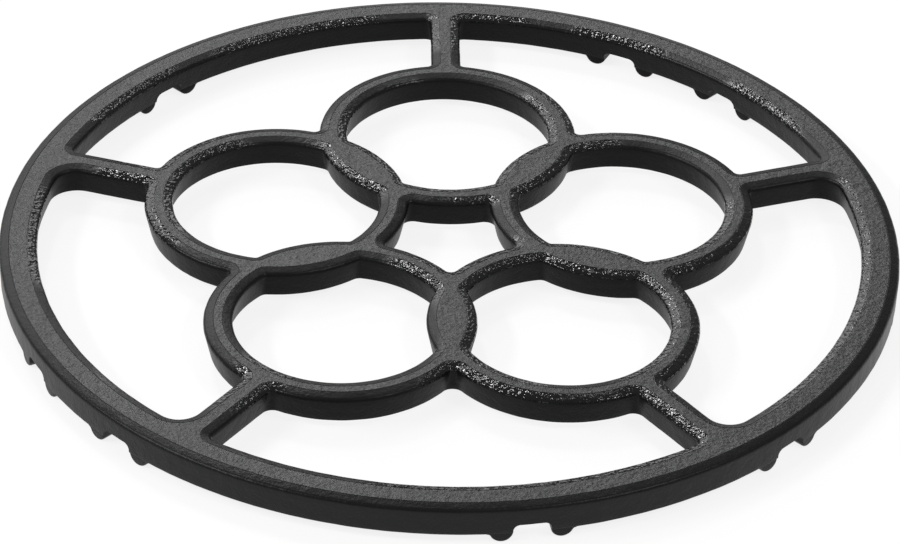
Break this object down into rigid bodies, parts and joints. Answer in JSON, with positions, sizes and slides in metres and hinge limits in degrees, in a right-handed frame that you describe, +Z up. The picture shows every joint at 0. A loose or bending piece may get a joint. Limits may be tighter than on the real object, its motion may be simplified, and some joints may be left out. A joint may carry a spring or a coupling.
{
  "type": "wok ring",
  "caption": "Flat cast iron ring with spokes and a flower of overlapping rings, laid on a gas hob's pan support to carry a round pan.",
  "frame": {"origin": "under the centre of the rim, at the level of the lug tips that it stands on", "axes": "+Z up to the pan, +Y along the back spoke, +X to the right as the picture shows it"},
  "size_m": [0.145, 0.145, 0.0065],
  "materials": {
    "cast_iron": "matte enamelled casting with a fine pebbled grain"
  },
  "bodies": {
    "root": {"wok_ring": "cast_iron"}
  },
  "joints": []
}
